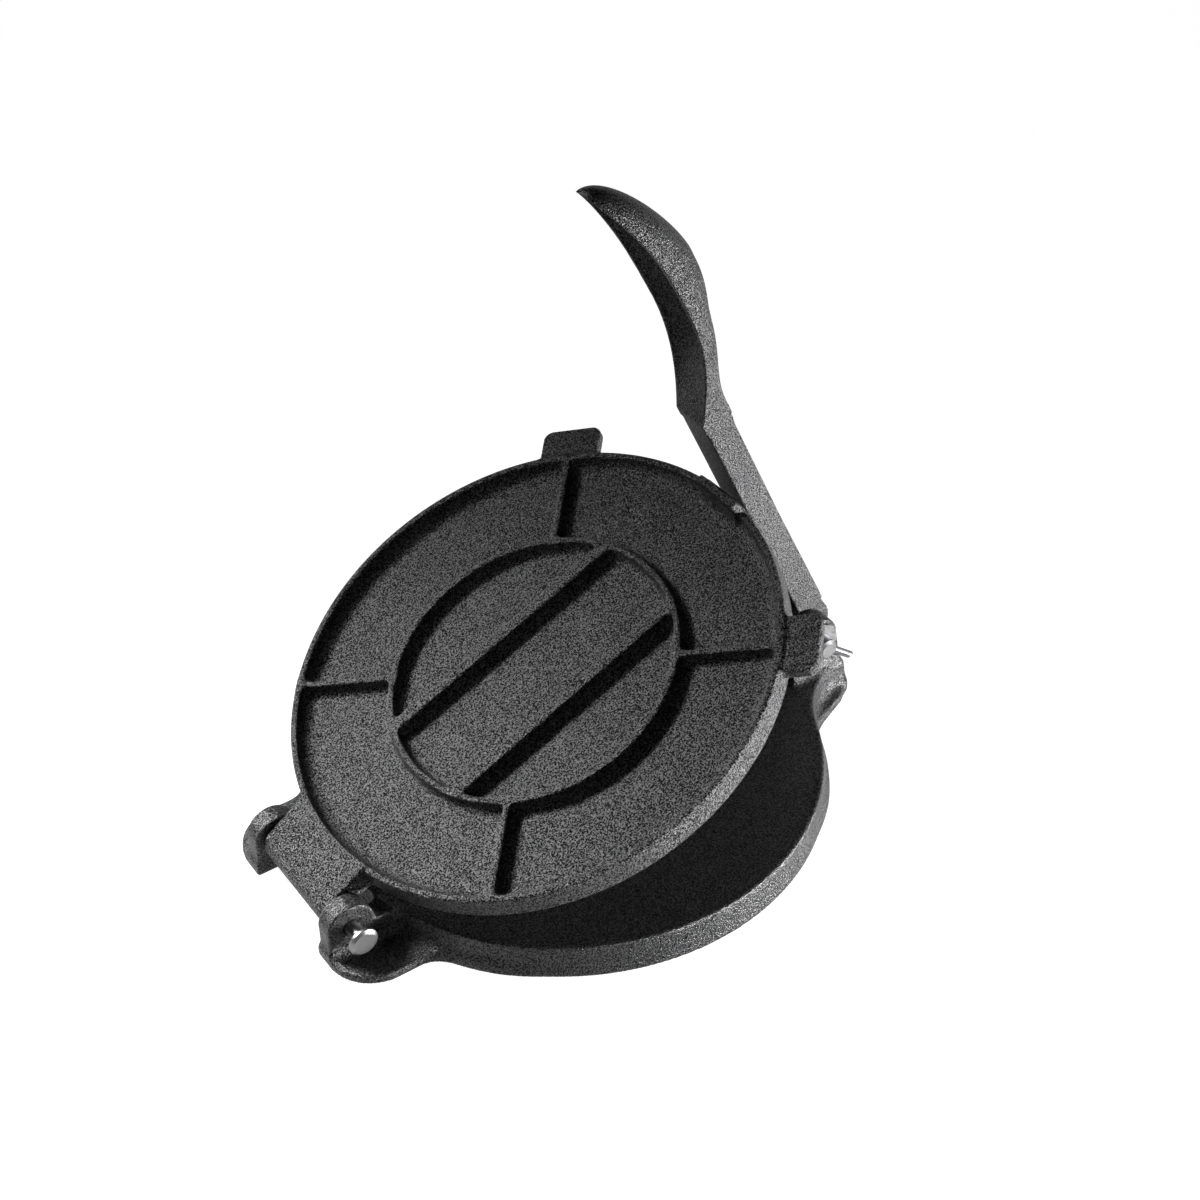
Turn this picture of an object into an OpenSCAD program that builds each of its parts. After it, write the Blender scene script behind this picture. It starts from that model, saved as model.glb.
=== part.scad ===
// Tortilla press: a cast base, a hinged cast plate and a cast lever handle, held by two pins.
// Millimetres, +Z up. The origin is the middle of the base disc, on the floor plane.
// +X runs from the plate hinge to the handle pivot, and both axes lie along Y.

/* [Base disc] */
// How much wider the base's radius is than the top plate's
base_margin = 1.3; // [0.5:0.1:3]
// Height of the pressing face above the floor
base_h = 14; // [12:0.5:18]
// How much wider the disc's radius is at the floor than at the top
base_flare = 1.6; // [0.5:0.1:2.5]
// Chamfer of the disc's top edge
base_edge = 0.8; // [0.3:0.1:1.5]
// Thickness of the pressing wall
base_wall = 5; // [4:0.5:7]
// Thickness of the skirt around the hollow underside
skirt_wall = 4; // [3:0.5:6]
// Outer diameter of the stiffening ring under the base
under_ring_d = 96; // [80:1:120]
// Width of the ring and ribs under the base
under_rib_w = 4; // [3:0.5:6]
// How far the ribs under the base stay above the floor
under_rib_lift = 1.5; // [1:0.5:3]

/* [Top plate] */
// Diameter of the top plate's pressing face
plate_d = 201.4; // [196:0.2:204]
// How much the plate's radius shrinks up to the rim's top
plate_draft = 0.6; // [0.2:0.1:1.2]
// Height of the rim above the pressing face
rim_h = 10; // [8:0.5:13]
// Thickness of the plate's floor
plate_floor = 3; // [2.5:0.5:4]
// Width of the rim's flat top
rim_w = 2.6; // [2:0.2:4]
// Radius of the hollow between the rim and the floor
rim_fillet = 5; // [3:0.5:5.5]
// Gap left between the two pressing faces when the press is shut
shut_gap = 0.4; // [0.3:0.1:1]
// How far the plate's middle lies toward the hinge, off the base's middle
plate_shift = 1.5; // [0:0.1:2]
// Angle that the plate stands open at
open_angle = 23.7; // [20:0.1:24]

/* [Plate ribs] */
// Height of the ring, ribs and bars above the pressing face
rib_h = 8.8; // [7:0.2:9.6]
// Outer diameter of the ring
ring_d = 119; // [100:1:130]
// Width of the ring's and the four ribs' flat tops
rib_w = 2.3; // [1.8:0.1:3.5]
// How much each side of a rib widens down to its hollow foot
rib_draft = 0.7; // [0.4:0.1:1.2]
// Radius of the hollow where a rib meets the floor
rib_foot = 3; // [1:0.25:4]
// Distance from the middle to each of the two bars inside the ring
bar_y = 21.8; // [16:0.2:28]
// Width of the bars' flat tops
bar_w = 5; // [4:0.2:7]

/* [Plate tabs and pressing pad] */
// Width of each lifting tab
tab_w = 24.8; // [20:0.2:30]
// How far each tab reaches out past the rim
tab_reach = 13; // [9:0.5:16]
// Thickness of the tabs
tab_t = 4.7; // [3.5:0.1:6]
// How far the tabs' tops lie below the rim's top
tab_drop = 1.1; // [0.5:0.1:1.5]
// Corner radius of the tabs
tab_r = 4; // [2:0.5:6]
// Length of the pad that the handle presses on
pad_len = 23; // [18:1:30]
// Height of the pad above the rim
pad_h = 5.5; // [4:0.5:6]
// Width of the pad's top
pad_w = 2.8; // [2:0.2:3.5]
// How far the pad's top stands in from the plate's edge
pad_inset = 2.5; // [2.4:0.1:4]

/* [Plate hinge] */
// How far the hinge axis lies outside the base's disc
hinge_reach = 13.2; // [13:0.2:16]
// Height of the hinge axis above the floor
hinge_z = 14.9; // [14.9:0.1:16]
// Diameter of the hinge pin
hinge_pin_d = 6; // [5:0.2:7]
// Radius of the rounded ears on the base
ear_r = 9.8; // [8.5:0.1:10.5]
// Thickness of each ear
ear_t = 8.4; // [6:0.2:10]
// Width of the top plate's tongue between the ears
tongue_w = 46.4; // [40:0.2:50]
// Radius of the tongue's rounded end
barrel_r = 7.4; // [6.5:0.1:8]
// How far the tongue's top stands above the rim where they meet
tongue_rise = 1.4; // [0.5:0.1:2]
// Gap between the tongue's sides and the ears
side_gap = 0.4; // [0.3:0.05:0.8]
// Height of the webs that tie the ears to the disc
ear_web_h = 13.1; // [11:0.1:13.4]

/* [Base feet] */
// Thickness of the flat feet at both ends
foot_h = 3.6; // [3:0.2:5]
// Width of the foot at the hinge end
hinge_foot_w = 102; // [90:1:110]
// How far the hinge foot reaches past the hinge axis
hinge_foot_reach = 11; // [10.5:0.5:14]
// Corner radius of the hinge foot
hinge_foot_r = 19; // [12:1:22]
// Width of the foot at the handle end, where it leaves the disc
handle_foot_w = 74; // [60:1:84]
// Radius of the hollows where the feet and webs meet the disc
root_fillet = 7; // [4:0.5:9]

/* [Handle pivot] */
// How far the handle's pivot lies outside the base's disc
pivot_reach = 9.7; // [9.7:0.1:12]
// Height of the pivot above the floor
pivot_z = 30.2; // [29.8:0.2:32]
// Diameter of the pivot pin
pivot_pin_d = 9; // [7.6:0.2:9.4]
// Radius of the lugs' rounded tops
lug_r = 10; // [8.5:0.1:10.5]
// Thickness of each lug
lug_t = 8.8; // [7:0.2:9]
// Gap between the handle's sides and the lugs
lug_gap = 0.6; // [0.3:0.1:1]
// How much each side of a lug widens for each millimetre down
lug_taper = 0.16; // [0.1:0.01:0.2]
// Width of the block that carries the lugs
block_w = 40; // [37:0.5:44]
// Radius of the hollow sides of that block
block_hollow_r = 22; // [14:1:24]

/* [Handle] */
// Width of the handle's arm
arm_w = 17; // [14:0.2:20]
// Gap between the raised handle and the path of the plate's edge
handle_gap = 0.6; // [0.4:0.1:1.5]
// Distance from the pivot to the step where the grip begins
arm_len = 133.6; // [110:0.2:150]
// Distance that the arm's back face lies behind the pivot
arm_back = 13.8; // [12.8:0.1:15]
// Distance that the arm's front face lies behind the pivot line at its foot
arm_front_low = 1.2; // [1:0.1:2]
// Distance that the arm's front face lies behind the pivot line at the step
arm_front_high = 3; // [2.5:0.1:4]
// Radius of the hub around the pivot
hub_r = 9.7; // [8.5:0.1:10]
// How far the heel stands out behind the hub
heel_out = 3.9; // [3:0.1:4]
// Length of the grip past the step
grip_len = 117; // [90:1:140]
// How far the grip bows back behind the arm's front face
grip_bow = 13.2; // [8:0.2:15]
// How far the grip's tip curls forward again
grip_curl = 10; // [4:0.5:12]
// Greatest width of the grip
grip_w = 29.6; // [20:0.2:34]
// Depth of the hollow in the grip's front
grip_hollow = 6; // [3:0.5:7]

/* [Pins and split pins] */
// Diameter of the hinge pin's head
hinge_head_d = 11.6; // [9:0.2:12]
// Thickness of the hinge pin's head
hinge_head_t = 2; // [2:0.2:4]
// Length of hinge pin that shows between the near ear and the head
hinge_pin_out = 8; // [4:0.5:10]
// Diameter of the handle pin's head
pivot_head_d = 14; // [12:0.2:16]
// Thickness of the handle pin's head
pivot_head_t = 3; // [2:0.2:4]
// Outer diameter of the washer on the handle pin
washer_d = 17; // [15:0.5:18]
// Thickness of the washer
washer_t = 1.4; // [1:0.1:2]
// Diameter of the split pin in the hinge pin
hinge_split_d = 2; // [2:0.1:3]
// Diameter of the split pin in the handle pin
pivot_split_d = 3.2; // [2.5:0.1:3.6]
// Length of the handle split pin's legs past the pin
pivot_split_leg = 15; // [8:0.5:18]
// Length of the hinge split pin's legs past the pin
hinge_split_leg = 4.5; // [4:0.5:9]
// Angle of the handle split pin's legs below level
pivot_split_angle = 40; // [0:1:45]
// Angle of the hinge split pin's legs below level
hinge_split_angle = 25; // [0:1:30]
// Running clearance around each pin, on the radius
pin_gap = 0.08; // [0.03:0.01:0.1]
// Clearance around what slips on or through a pin
slip_gap = 0.15; // [0.1:0.05:0.3]

/* [Hidden] */

iron = [0.16, 0.16, 0.165];
iron_light = [0.22, 0.22, 0.225];
steel = [0.78, 0.78, 0.8];
curve = 96;

plate_r = plate_d / 2;
base_r = plate_r + base_margin;
hinge_x = base_r + hinge_reach;
pivot_x = base_r + pivot_reach;
rim_r = plate_r - plate_draft;
face_z = base_h + shut_gap;
rim_z = face_z + rim_h;
floor_z = face_z + plate_floor;
rib_z = face_z + rib_h;
ring_r = ring_d / 2;
ear_in = tongue_w / 2 + side_gap;
ear_out = ear_in + ear_t;
lug_in = arm_w / 2 + lug_gap;
lug_out = lug_in + lug_t;
hinge_foot_end = hinge_x + hinge_foot_reach;
block_end = pivot_x + lug_r + lug_taper * pivot_z;
// The raised handle's front face just clears the circle that the plate's edge sweeps about its hinge
sweep_r = max(norm([hinge_x - plate_shift + plate_r, hinge_z - face_z]),
              norm([hinge_x - plate_shift + plate_r - pad_inset, rim_z + pad_h - hinge_z]));
axis_span = [hinge_x + pivot_x, pivot_z - hinge_z];
arm_tilt = atan((arm_front_high - arm_front_low) / arm_len);
lean_angle = arm_tilt + atan2(axis_span[1], axis_span[0])
    + acos((sweep_r + handle_gap - arm_front_low * cos(arm_tilt)) / norm(axis_span));

sink = 0.5;  // how deep joined shapes of one casting run into each other
ring_foot = rib_foot - 0.3;  // lower than the ribs' feet, which it crosses
foot_fillet = 4;  // hollow corner where the ears and the block stand on their feet
flare_back = arm_back + 2.1;  // back of the arm where it swells into the grip
slot_x = pivot_x - 13.7;  // where the slot between the lugs begins
split_hole_gap = 0.2;
pin_chamfer = 1.1;

// Points of an arc about c, from angle a0 to a1
function arc(c, r, a0, a1, n = 10) =
    [for (i = [0:n]) c + r * [cos(a0 + (a1 - a0) * i / n), sin(a0 + (a1 - a0) * i / n)]];

// Half the width of a disc of radius r at the distance x from its middle
function half_chord(r, x) = sqrt(r * r - x * x);

// Turns a drawing in the X-Z plane into a slab between y0 and y1
module slab_y(y0, y1) {
    translate([0, y1, 0]) rotate([90, 0, 0]) linear_extrude(y1 - y0) children();
}

// A round bar along Y
module bar_y_axis(r, y0, y1) {
    translate([0, y1, 0]) rotate([90, 0, 0]) cylinder(r = r, h = y1 - y0, $fn = curve);
}

// Both of a pair of parts that mirror each other across the X-Z plane
module both_sides() {
    children();
    mirror([0, 1, 0]) children();
}

// ---- base ----

// Solid disc with a flared side and a chamfered top edge, before it is hollowed
module disc_body() {
    rotate_extrude($fn = 180) polygon([
        [0, 0], [base_r + base_flare, 0], [base_r, base_h - base_edge],
        [base_r - base_edge, base_h], [0, base_h]
    ]);
}

// Hollow under the pressing wall, inside the skirt
module disc_hollow() {
    translate([0, 0, -1])
        cylinder(r = base_r - skirt_wall, h = base_h - base_wall + 1, $fn = 180);
}

// Ring and four ribs that stiffen the pressing wall from below
module under_ribs() {
    height = base_h - base_wall - under_rib_lift + sink;
    translate([0, 0, under_rib_lift]) {
        difference() {
            cylinder(d = under_ring_d, h = height, $fn = curve);
            translate([0, 0, -1])
                cylinder(d = under_ring_d - 2 * under_rib_w, h = height + 2, $fn = curve);
        }
        for (turn = [45:90:315]) rotate(turn)
            translate([under_ring_d / 2 - under_rib_w, -under_rib_w / 2, 0])
                cube([base_r - skirt_wall + sink - under_ring_d / 2 + under_rib_w, under_rib_w, height]);
    }
}

// Hollow corner between the disc's side and an outline that leaves it at half width w
function disc_root(r_disc, w, r, side) =
    let (mid_y = w + r,
         mid_x = half_chord(r_disc + r, mid_y),
         a_disc = atan2(mid_y, mid_x))
    [side * mid_x, mid_y, a_disc];

// Half outline of a tongue that grows out of the disc with hollow corners, for y >= 0
function tongue_half(w, end, r_end, r_disc, r_root) =
    let (root = disc_root(r_disc, w, r_root, 1))
    concat(
        [[0, 0], [root[0] * r_disc / (r_disc + r_root), root[1] * r_disc / (r_disc + r_root)]],
        arc([root[0], root[1]], r_root, root[2] + 180, 270, 8),
        arc([end - r_end, w - r_end], r_end, 90, 0, 10),
        [[end, 0]]
    );

// Flat foot under the hinge, with wide rounded corners
module hinge_foot() {
    outline = tongue_half(hinge_foot_w / 2, hinge_foot_end, hinge_foot_r, base_r + base_flare, root_fillet);
    mirror([1, 0, 0]) linear_extrude(foot_h) both_sides() polygon(outline);
}

// Flat foot under the handle block, tapering away from the disc
module handle_foot() {
    wide = handle_foot_w / 2;
    corner_r = 9;
    start = half_chord(base_r, wide);
    linear_extrude(foot_h) both_sides() polygon(concat(
        [[0, 0], [start - 8, 0], [start - 8, wide + 3], [start, wide]],
        arc([block_end - corner_r, lug_out - 1], corner_r, 62, 0, 6),
        [[block_end, 0]]
    ));
}

// Block that carries the handle's lugs, as high as the pressing face
module handle_block() {
    outline = tongue_half(block_w / 2, block_end, 3, base_r, block_hollow_r);
    top_end = pivot_x + lug_r + lug_taper * (pivot_z - base_h);
    intersection() {
        linear_extrude(base_h) both_sides() polygon(outline);
        slab_y(-base_r, base_r) polygon([
            [0, 0], [block_end, 0], [top_end, base_h], [0, base_h]
        ]);
    }
}

// Side view of a lug: a round top on sides that spread downward
module lug_profile() {
    drop = pivot_z - foot_h + sink;
    spread = lug_r + lug_taper * drop;
    tilt = atan(lug_taper);
    translate([pivot_x, pivot_z]) {
        circle(r = lug_r, $fn = curve);
        polygon([
            [-lug_r * cos(tilt), lug_r * sin(tilt)], [-spread, -drop],
            [spread, -drop], [lug_r * cos(tilt), lug_r * sin(tilt)]
        ]);
    }
}

// Lug with an upright outer face that spreads into the block's side
module lug() {
    half = block_w / 2;
    top = pivot_z + lug_r + 1;
    intersection() {
        slab_y(lug_in - sink, half + foot_fillet) lug_profile();
        rotate([90, 0, 90]) linear_extrude(block_end) polygon(concat(
            [[lug_in - sink, foot_h - sink], [lug_in - sink, top], [lug_out, top], [lug_out, base_h + 7],
             [half, base_h]],
            arc([half + foot_fillet, foot_h + foot_fillet], foot_fillet, 180, 270, 6),
            [[half + foot_fillet, foot_h - sink]]
        ));
    }
}

// Slot that the handle swings in
module lug_slot() {
    translate([slot_x, -lug_in, foot_h]) cube([block_end, 2 * lug_in, pivot_z + lug_r]);
}

// Opening in the hinge foot, between the ears
module foot_opening() {
    translate([-hinge_foot_end - 1, -ear_in, -1])
        cube([hinge_foot_end + 1 - base_r - base_flare, 2 * ear_in, hinge_z]);
}

// Side view of a hinge ear with the web that ties it to the disc
module ear_profile() {
    disc_edge = half_chord(base_r, ear_out) - 2;
    translate([-hinge_x, hinge_z]) circle(r = ear_r, $fn = curve);
    polygon([
        [-hinge_x - ear_r, hinge_z], [-hinge_x - ear_r, foot_h - sink],
        [-disc_edge, foot_h - sink], [-disc_edge, ear_web_h],
        [-hinge_x + ear_r, ear_web_h], [-hinge_x + ear_r, hinge_z]
    ]);
}

// Ear with a hollow corner along its outer foot
module ear() {
    intersection() {
        slab_y(ear_in, ear_out + foot_fillet) ear_profile();
        mirror([1, 0, 0]) rotate([90, 0, 90]) linear_extrude(hinge_foot_end) polygon(concat(
            [[ear_in, 0], [ear_in, hinge_z + ear_r + 1], [ear_out, hinge_z + ear_r + 1]],
            arc([ear_out + foot_fillet, foot_h + foot_fillet], foot_fillet, 180, 270, 6),
            [[ear_out + foot_fillet, 0]]
        ));
    }
}

module base() {
    color(iron) difference() {
        union() {
            difference() {
                union() {
                    disc_body();
                    hinge_foot();
                    handle_foot();
                    handle_block();
                }
                disc_hollow();
            }
            under_ribs();
            both_sides() lug();
            both_sides() ear();
        }
        lug_slot();
        foot_opening();
        translate([-hinge_x, 0, hinge_z])
            bar_y_axis(hinge_pin_d / 2 + pin_gap, -ear_out - 1, ear_out + 1);
        translate([pivot_x, 0, pivot_z])
            bar_y_axis(pivot_pin_d / 2 + pin_gap, -lug_out - 1, lug_out + 1);
    }
}

// ---- top plate, drawn shut ----

// Disc of the plate before it is hollowed
module plate_disc() {
    translate([-plate_shift, 0, 0]) rotate_extrude($fn = 180) polygon([
        [0, face_z], [plate_r - 0.5, face_z], [plate_r, face_z + 0.5],
        [rim_r + 0.03, rim_z - 0.5], [rim_r - 0.5, rim_z], [0, rim_z]
    ]);
}

// Hollow of the dish, with a rounded corner between the rim and the floor
module plate_hollow() {
    rim_in = rim_r - rim_w;
    wall_in = rim_in - 0.6;
    high = tongue_rise + 1;
    translate([-plate_shift, 0, 0]) rotate_extrude($fn = 180) polygon(concat(
        [[0, rim_z + high], [rim_in + 0.07 * high, rim_z + high]],
        arc([wall_in - rim_fillet, floor_z + rim_fillet], rim_fillet, 0, -90, 8),
        [[0, floor_z]]
    ));
}

// Points down one side of a rib, from its top's edge to its hollow foot, where u grows outward
function rib_side(u, foot) = concat(
    [[u, rib_z]],
    arc([u + rib_draft + foot, floor_z + foot], foot, 180, 270, 6),
    [[u + rib_draft + foot, floor_z - sink]]
);

// The same side, mirrored and listed from the foot up
function other_side(points, about = 0) =
    [for (i = [len(points) - 1:-1:0]) [2 * about - points[i][0], points[i][1]]];

// Rib along X from x0 to x1, flat on top, with hollow feet
module rib(x0, x1, top_w) {
    side = rib_side(top_w / 2, rib_foot);
    rotate([90, 0, 90]) translate([0, 0, x0]) linear_extrude(x1 - x0)
        polygon(concat(side, other_side(side)));
}

module plate_ring() {
    side = rib_side(ring_r, ring_foot);
    rotate_extrude($fn = 120) polygon(concat(side, other_side(side, ring_r - rib_w / 2)));
}

module plate_ribs() {
    bar_end = half_chord(ring_r - rib_w / 2, bar_y);
    translate([-plate_shift, 0, 0]) {
        plate_ring();
        for (turn = [45:90:315]) rotate(turn)
            rib(ring_r - rib_w / 2, rim_r - rim_w - 0.2, rib_w);
        for (side = [-1, 1]) translate([0, side * bar_y, 0])
            rib(-bar_end, bar_end, bar_w);
    }
}

// Rounded lifting tab, drawn along +X and turned to its corner
module lifting_tab() {
    end = plate_r + tab_reach;
    half = tab_w / 2;
    translate([0, 0, rim_z - tab_drop - tab_t]) linear_extrude(tab_t) polygon(concat(
        [[rim_r - rim_w, -half]],
        arc([end - tab_r, -half + tab_r], tab_r, -90, 0, 6),
        arc([end - tab_r, half - tab_r], tab_r, 0, 90, 6),
        [[rim_r - rim_w, half]]
    ));
}

// Raised pad on the rim that takes the handle's push
module pressing_pad() {
    top_out = plate_r - pad_inset;
    top_in = top_out - pad_w;
    slab_y(-pad_len / 2, pad_len / 2) polygon([
        [top_in - 1.6, floor_z - sink], [rim_r - 0.9, floor_z - sink], [rim_r - 0.7, rim_z],
        [top_out, rim_z + pad_h], [top_in, rim_z + pad_h]
    ]);
}

// Tongue that carries the plate on the hinge pin
module hinge_tongue() {
    root_x = -plate_shift - rim_r + 12;
    crest_x = -plate_shift - half_chord(rim_r, tongue_w / 2) + 1;
    run = hinge_x + crest_x;
    rise = rim_z + tongue_rise - hinge_z;
    far = sqrt(run * run + rise * rise);
    tangent = atan2(rise, run) + acos(barrel_r / far);
    slab_y(-tongue_w / 2, tongue_w / 2) {
        translate([-hinge_x, hinge_z]) circle(r = barrel_r, $fn = curve);
        polygon([
            [-hinge_x, hinge_z], [-hinge_x, face_z], [root_x, face_z], [root_x, rim_z + tongue_rise],
            [crest_x, rim_z + tongue_rise],
            [-hinge_x, hinge_z] + barrel_r * [cos(tangent), sin(tangent)]
        ]);
    }
}

module plate_shut() {
    difference() {
        union() {
            difference() {
                union() {
                    plate_disc();
                    hinge_tongue();
                }
                plate_hollow();
            }
            plate_ribs();
            translate([-plate_shift, 0, 0]) {
                pressing_pad();
                for (turn = [-45, 45]) rotate(turn) lifting_tab();
            }
        }
        translate([-hinge_x, 0, hinge_z])
            bar_y_axis(hinge_pin_d / 2 + pin_gap, -tongue_w / 2 - 1, tongue_w / 2 + 1);
    }
}

module top_plate() {
    color(iron_light)
        translate([-hinge_x, 0, hinge_z]) rotate([0, -open_angle, 0]) translate([hinge_x, 0, -hinge_z])
            plate_shut();
}

// ---- handle, drawn with its arm up along Z, its front toward -X and its pivot at the origin ----

// Smooth step from 0 to 1 as t runs from a to b
function ease(t, a, b) = let (u = min(1, max(0, (t - a) / (b - a)))) u * u * (3 - 2 * u);

// Along the grip t runs from 0 at the step to 1 at the tip
// Rim of the hollow front, bowed back and then forward again
function grip_rim_x(t) = let (rise = 1 - min(1, t / 0.42), fall = max(0, (t - 0.45) / 0.55))
    arm_front_high + grip_bow * (1 - rise * rise) - grip_curl * pow(fall, 2.6);
// Rounded back
function grip_back_x(t) = let (u = max(0, (t - 0.6) / 0.4), top = arm_front_high + grip_bow + 15)
    t < 0.6 ? flare_back + (top - flare_back) * ease(t, 0.04, 0.54)
            : top - (top - grip_rim_x(1) - 1) * (1 - pow(1 - pow(u, 1.4), 0.6));
function grip_half(t) = let (u = max(0, (t - 0.74) / 0.26))
    (arm_w / 2 + (grip_w - arm_w) / 2 * sin(90 * min(1, t / 0.74))) * sqrt(max(0, 1 - u * u));
function grip_hollow_at(t) = grip_hollow * ease(t, 0.1, 0.4) * (1 - ease(t, 0.8, 0.98));

// One cross-section of the grip, as points about the height z
function grip_section(t, z) =
    let (half = max(1.6, grip_half(t)), rim = grip_rim_x(t), depth = max(1.2, grip_back_x(t) - rim),
         hollow = min(grip_hollow_at(t), depth - 0.5), edge = half * 0.84,
         power = 16 - 13.9 * ease(t, -0.1, 0.4), n = 14, m = 10)
    concat(
        [for (i = [0:n]) let (a = 180 * i / n, c = cos(a), s = sin(a))
            [rim + depth * pow(s, 2 / power), half * sign(c) * pow(abs(c), 2 / power), z]],
        [for (i = [0:m]) let (a = 180 * i / m)
            [rim + hollow * pow(sin(a), 0.8), -edge * cos(a), z]]
    );

// Point in the middle of a cross-section
function middle(row) = let (xs = [for (p = row) p[0]]) [(min(xs) + max(xs)) / 2, 0, row[0][2]];

// Shell-shaped grip, set down into the arm's end
module grip() {
    steps = 26;
    rows = [for (i = [-1:steps]) let (t = i < 0 ? 0 : sin(90 * i / steps) * 0.999,
        z = i < 0 ? arm_len - 6 : arm_len + grip_len * t) grip_section(t, z)];
    count = len(rows[0]);
    last = len(rows) - 1;
    low = len(rows) * count;
    polyhedron(
        points = concat([for (row = rows) each row], [middle(rows[0]), middle(rows[last])]),
        faces = [
            for (i = [0:count - 1]) let (j = (i + 1) % count) each concat(
                [[low, j, i], [low + 1, last * count + i, last * count + j]],
                [for (k = [0:last - 1]) each [
                    [k * count + i, (k + 1) * count + j, (k + 1) * count + i],
                    [k * count + i, k * count + j, (k + 1) * count + j]
                ]]
            )
        ]
    );
}

// Side view of the arm, with the hub around the pivot
module arm_profile() {
    heel_r = (2 * hub_r + heel_out) / 2 - 1.3;
    heel_x = hub_r + heel_out - heel_r;
    circle(r = hub_r, $fn = curve);
    translate([heel_x, 0]) circle(r = heel_r, $fn = curve);
    polygon([
        [arm_front_low, 0], [arm_front_high, arm_len],
        [flare_back, arm_len], [arm_back + 0.8, arm_len - 11], [arm_back, arm_len / 2],
        [arm_back, 8], [heel_x + heel_r - 0.3, 6], [heel_x + heel_r, 0]
    ]);
}

module handle_upright() {
    difference() {
        union() {
            slab_y(-arm_w / 2, arm_w / 2) arm_profile();
            grip();
        }
        bar_y_axis(pivot_pin_d / 2 + pin_gap, -arm_w / 2 - 1, arm_w / 2 + 1);
    }
}

module handle() {
    color(iron) translate([pivot_x, 0, pivot_z]) rotate([0, -lean_angle, 0]) handle_upright();
}

// ---- pins ----

// A pin along Y from y0 to y1 with a cross hole at y_hole; its head is at the y0 end
module headed_pin(d, head_d, head_t, y0, y1, y_hole, hole_d, hole_turn) {
    difference() {
        union() {
            bar_y_axis(d / 2, y0, y1 - 1);
            translate([0, y1, 0]) rotate([90, 0, 0])
                cylinder(r1 = d / 2 - pin_chamfer, r2 = d / 2, h = 1, $fn = curve);
            translate([0, y0, 0]) rotate([90, 0, 0]) cylinder(d = head_d, h = head_t * 0.5, $fn = curve);
            translate([0, y0 - head_t * 0.5, 0]) rotate([90, 0, 0])
                cylinder(r1 = head_d / 2, r2 = head_d / 2 - 1.2, h = head_t * 0.5, $fn = curve);
        }
        translate([0, y_hole, 0]) rotate([0, hole_turn, 0])
            translate([0, 0, -d]) cylinder(d = hole_d, h = 2 * d, $fn = 48);
    }
}

// A split pin with its shank along Z, its eye above the pin and its legs below it
module split_pin(d, pin_d, leg) {
    eye_r = d * 1.05;
    eye_z = pin_d / 2 + slip_gap + eye_r + d * 0.45;
    slit = 0.3;
    half_d = (d - slit) / 2;
    for (side = [0, 180]) rotate(side) {
        long = side == 0 ? leg : leg - 1.2;
        intersection() {
            translate([0, 0, -pin_d / 2 - long])
                cylinder(d = d, h = pin_d / 2 + long + eye_z - eye_r, $fn = 48);
            translate([slit / 2, -d, -pin_d - leg]) cube([d, 2 * d, 2 * pin_d + leg + eye_z]);
        }
    }
    translate([0, 0, eye_z]) rotate([90, 0, 0])
        rotate_extrude($fn = 64) translate([eye_r, 0]) circle(d = half_d * 1.7, $fn = 32);
    translate([0, 0, eye_z - eye_r]) cylinder(d = d, h = half_d, center = true, $fn = 48);
}

module hinge_pin() {
    y_hole = ear_out + slip_gap + hinge_split_d / 2;
    color(steel) translate([-hinge_x, 0, hinge_z])
        headed_pin(hinge_pin_d, hinge_head_d, hinge_head_t, -ear_out - hinge_pin_out,
            y_hole + hinge_split_d + 2, y_hole, hinge_split_d + split_hole_gap, 90 - hinge_split_angle);
}

module hinge_split_pin() {
    color(steel) translate([-hinge_x, ear_out + slip_gap + hinge_split_d / 2, hinge_z])
        rotate([0, 90 - hinge_split_angle, 0]) split_pin(hinge_split_d, hinge_pin_d, hinge_split_leg);
}

pivot_split_y = lug_out + slip_gap + washer_t + slip_gap + pivot_split_d / 2;
pivot_split_turn = 90 + pivot_split_angle - 180;

module handle_pin() {
    color(steel) translate([pivot_x, 0, pivot_z]) mirror([0, 1, 0])
        headed_pin(pivot_pin_d, pivot_head_d, pivot_head_t, -lug_out - slip_gap,
            pivot_split_y + pivot_split_d + 1, pivot_split_y, pivot_split_d + split_hole_gap,
            pivot_split_turn);
}

module handle_washer() {
    color(steel) translate([pivot_x, 0, pivot_z]) difference() {
        bar_y_axis(washer_d / 2, -lug_out - slip_gap - washer_t, -lug_out - slip_gap);
        bar_y_axis(pivot_pin_d / 2 + slip_gap, -lug_out - washer_t - 2, -lug_out + 1);
    }
}

module handle_split_pin() {
    color(steel) translate([pivot_x, -pivot_split_y, pivot_z]) rotate([0, pivot_split_turn, 0])
        split_pin(pivot_split_d, pivot_pin_d, pivot_split_leg);
}

base();
top_plate();
handle();
hinge_pin();
hinge_split_pin();
handle_pin();
handle_washer();
handle_split_pin();
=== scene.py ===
"""Looks of a cast-iron tortilla press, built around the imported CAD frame.

The three castings are modelled as distance fields in millimetres, so that their edges are
rounded and their inner corners filleted as a foundry leaves them, then skinned with a mesh.
The pins and the washer are the frame's own solids, in steel. All other lengths are metres.
"""
import math

import bpy
import numpy as np
from mathutils import Matrix, Vector


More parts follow.
